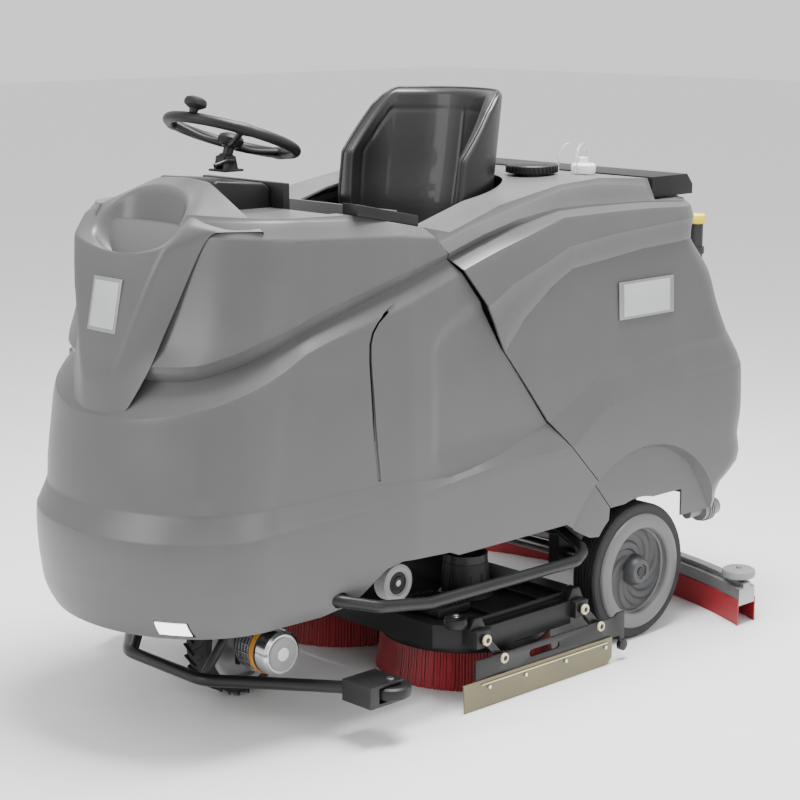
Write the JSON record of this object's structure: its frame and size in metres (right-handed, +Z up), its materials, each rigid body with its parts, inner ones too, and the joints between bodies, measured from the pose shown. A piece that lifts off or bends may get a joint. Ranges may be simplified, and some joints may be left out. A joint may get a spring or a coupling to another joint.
{
  "type": "ride-on floor scrubber-dryer",
  "caption": "Ride-on floor scrubber-dryer with steered drive wheel, brush deck, side blades, curved squeegee, bucket seat, moulded tank covers and bumper guards.",
  "frame": {"origin": "on the floor below the middle of the machine's bounding box", "axes": "+X to the front, +Y to the machine's left, +Z up"},
  "size_m": [2.1448, 1.184, 1.5906],
  "materials": {
    "grey_cover": "satin moulded",
    "black_plastic": "fine grained",
    "black_steel": "powder coated",
    "chassis_steel": "powder coated",
    "tank_plastic": "natural polyethylene",
    "battery": "moulded",
    "cast_aluminium": "as cast",
    "axle_steel": "turned",
    "lamp_glass": "clear lens over white LEDs",
    "rim_grey": "moulded",
    "tyre_black": "grooved",
    "seat_vinyl": "black vinyl",
    "white_plastic": "moulded",
    "clear_tube": "translucent",
    "yellow_plastic": "moulded",
    "red_plastic": "moulded",
    "grey_plastic": "moulded",
    "red_rubber": "moulded",
    "red_bristle": "polypropylene bristles",
    "pu_lip": "translucent polyurethane",
    "hose_black": "ribbed"
  },
  "bodies": {
    "chassis": {"chassis_frame": "chassis_steel", "rear_axle": "axle_steel", "front_body": "grey_cover", "rear_body": "grey_cover", "fresh_tank": "tank_plastic", "battery_pack": "battery", "suction_turbine": "black_plastic", "controller_box": "cast_aluminium", "headlights": "lamp_glass", "control_panels": "black_plastic", "dosing_cap": "white_plastic", "dosing_tubes": "clear_tube", "drain_hose": "hose_black", "drain_hose_cap": "yellow_plastic", "filter_cap": "grey_plastic", "side_guards": "black_steel", "front_guard": "black_steel", "seat_rails": "axle_steel", "steering_bracket": "black_steel", "suction_hose": "hose_black"},
    "seat": {"seat_base": "black_steel", "seat_cushion": "seat_vinyl", "seat_backrest": "seat_vinyl"},
    "lid": {"tank_lid": "black_plastic"},
    "filler": {"filler_cap": "black_plastic"},
    "column": {"steering_column": "black_steel"},
    "wheel": {"steering_wheel": "black_plastic"},
    "knob": {"steering_knob": "black_plastic"},
    "pedal": {"accelerator_pedal": "black_plastic"},
    "stop_button": {"emergency_stop": "red_plastic"},
    "drive_head": {"drive_fork": "black_steel", "traction_motor": "cast_aluminium"},
    "drive_wheel": {"drive_rim": "cast_aluminium", "drive_tyre": "tyre_black"},
    "rear_wheel_left": {"rear_rim_left": "rim_grey", "rear_tyre_left": "tyre_black"},
    "rear_wheel_right": {"rear_rim_right": "rim_grey", "rear_tyre_right": "tyre_black"},
    "deck": {"brush_deck": "black_plastic", "brush_motors": "black_steel"},
    "brush_left": {"brush_disc_left": "black_plastic", "bristles_left": "red_bristle"},
    "brush_right": {"brush_disc_right": "black_plastic", "bristles_right": "red_bristle"},
    "arm_front_left": {"blade_arm_front_left": "black_steel"},
    "arm_rear_left": {"blade_arm_rear_left": "black_steel"},
    "blade_left": {"blade_plate_left": "black_steel", "blade_lip_left": "pu_lip"},
    "arm_front_right": {"blade_arm_front_right": "black_steel"},
    "arm_rear_right": {"blade_arm_rear_right": "black_steel"},
    "blade_right": {"blade_plate_right": "black_steel", "blade_lip_right": "pu_lip"},
    "bumper_left": {"guard_roller_left": "black_plastic"},
    "bumper_right": {"guard_roller_right": "black_plastic"},
    "guide": {"guide_wheels": "grey_plastic"},
    "squeegee_arm": {"squeegee_arm": "chassis_steel"},
    "squeegee": {"squeegee_bar": "cast_aluminium", "squeegee_blades": "red_rubber"},
    "squeegee_roller_left": {"squeegee_roller_left": "grey_plastic"},
    "squeegee_roller_right": {"squeegee_roller_right": "grey_plastic"}
  },
  "joints": [
    {"name": "seat_slide", "type": "slide", "parent": "chassis", "child": "seat", "axis": [1, 0, 0], "range_m": [-0.015, 0.06]},
    {"name": "lid_hinge", "type": "hinge", "parent": "chassis", "child": "lid", "pos_m": [-0.832, 0, 1.285], "axis": [0, -1, 0], "range_deg": [0, 80]},
    {"name": "filler_lift", "type": "slide", "parent": "chassis", "child": "filler", "axis": [0, 0, 1], "range_m": [0, 0.035]},
    {"name": "column_tilt", "type": "hinge", "parent": "chassis", "child": "column", "pos_m": [0.5715, 0, 1.423], "axis": [0, 1, 0], "range_deg": [-12, 12]},
    {"name": "steering_turn", "type": "hinge", "parent": "column", "child": "wheel", "pos_m": [0.55001, 0, 1.4854], "axis": [-0.3256, 0, 0.9455], "range_deg": [-315, 315]},
    {"name": "knob_spin", "type": "hinge", "parent": "wheel", "child": "knob", "pos_m": [0.70446, 0.03472, 1.53859], "axis": [-0.3256, 0, 0.9455], "continuous": true},
    {"name": "pedal_press", "type": "hinge", "parent": "chassis", "child": "pedal", "pos_m": [0.6, -0.13, 0.736], "axis": [0, 1, 0], "range_deg": [0, 14], "stiffness_Nm_per_rad": 6, "springref_deg": -20.05},
    {"name": "stop_press", "type": "slide", "parent": "chassis", "child": "stop_button", "axis": [1, 0, 0], "range_m": [0, 0.004], "stiffness_N_per_m": 800, "springref_m": -0.004},
    {"name": "drive_steer", "type": "hinge", "parent": "chassis", "child": "drive_head", "pos_m": [0.564, 0, 0.35], "axis": [0, 0, 1], "range_deg": [-80, 80]},
    {"name": "drive_roll", "type": "hinge", "parent": "drive_head", "child": "drive_wheel", "pos_m": [0.564, 0, 0.15], "axis": [0, 1, 0], "continuous": true},
    {"name": "rear_roll_left", "type": "hinge", "parent": "chassis", "child": "rear_wheel_left", "pos_m": [-0.566, 0.41, 0.2], "axis": [0, 1, 0], "continuous": true},
    {"name": "rear_roll_right", "type": "hinge", "parent": "chassis", "child": "rear_wheel_right", "pos_m": [-0.566, -0.41, 0.2], "axis": [0, 1, 0], "continuous": true},
    {"name": "deck_lift", "type": "slide", "parent": "chassis", "child": "deck", "axis": [0, 0, 1], "range_m": [0, 0.05]},
    {"name": "brush_spin_left", "type": "hinge", "parent": "deck", "child": "brush_left", "pos_m": [-0.05, 0.254, 0.12], "axis": [0, 0, 1], "continuous": true},
    {"name": "brush_spin_right", "type": "hinge", "parent": "deck", "child": "brush_right", "pos_m": [-0.05, -0.254, 0.12], "axis": [0, 0, 1], "continuous": true},
    {"name": "arm_front_swing_left", "type": "hinge", "parent": "deck", "child": "arm_front_left", "pos_m": [0.157, 0.532, 0.178], "axis": [0, 1, 0], "range_deg": [0, 18]},
    {"name": "arm_rear_swing_left", "type": "hinge", "parent": "deck", "child": "arm_rear_left", "pos_m": [-0.231, 0.532, 0.178], "axis": [0, 1, 0], "range_deg": [0, 18]},
    {"name": "blade_level_left", "type": "hinge", "parent": "arm_front_left", "child": "blade_left", "pos_m": [0.099, 0.54, 0.118], "axis": [0, 1, 0], "range_deg": [-18, 0]},
    {"name": "bumper_spin_left", "type": "hinge", "parent": "chassis", "child": "bumper_left", "pos_m": [0.505, 0.538, 0.13], "axis": [0, 0, 1], "continuous": true},
    {"name": "arm_front_swing_right", "type": "hinge", "parent": "deck", "child": "arm_front_right", "pos_m": [0.157, -0.532, 0.178], "axis": [0, 1, 0], "range_deg": [0, 18]},
    {"name": "arm_rear_swing_right", "type": "hinge", "parent": "deck", "child": "arm_rear_right", "pos_m": [-0.231, -0.532, 0.178], "axis": [0, 1, 0], "range_deg": [0, 18]},
    {"name": "blade_level_right", "type": "hinge", "parent": "arm_front_right", "child": "blade_right", "pos_m": [0.099, -0.54, 0.118], "axis": [0, 1, 0], "range_deg": [-18, 0]},
    {"name": "bumper_spin_right", "type": "hinge", "parent": "chassis", "child": "bumper_right", "pos_m": [0.505, -0.538, 0.13], "axis": [0, 0, 1], "continuous": true},
    {"name": "guide_roll", "type": "hinge", "parent": "chassis", "child": "guide", "pos_m": [0.38, 0, 0.358], "axis": [0, 1, 0], "continuous": true},
    {"name": "squeegee_swing", "type": "hinge", "parent": "chassis", "child": "squeegee_arm", "pos_m": [-0.7, 0, 0.33], "axis": [0, 0, 1], "range_deg": [-14, 14], "deforming": ["suction_hose"]},
    {"name": "squeegee_lift", "type": "hinge", "parent": "squeegee_arm", "child": "squeegee", "pos_m": [-0.86, 0, 0.235], "axis": [0, 1, 0], "range_deg": [0, 14]},
    {"name": "squeegee_roller_spin_left", "type": "hinge", "parent": "squeegee", "child": "squeegee_roller_left", "pos_m": [-0.92155, 0.542, 0.143], "axis": [0, 0, 1], "continuous": true},
    {"name": "squeegee_roller_spin_right", "type": "hinge", "parent": "squeegee", "child": "squeegee_roller_right", "pos_m": [-0.92155, -0.542, 0.143], "axis": [0, 0, 1], "continuous": true}
  ],
  "couplings": [
    {"joint": "drive_steer", "follows": "steering_turn", "ratio": 0.25397},
    {"joint": "arm_rear_swing_left", "follows": "arm_front_swing_left", "ratio": 1},
    {"joint": "blade_level_left", "follows": "arm_front_swing_left", "ratio": -1},
    {"joint": "arm_rear_swing_right", "follows": "arm_front_swing_right", "ratio": 1},
    {"joint": "blade_level_right", "follows": "arm_front_swing_right", "ratio": -1}
  ]
}
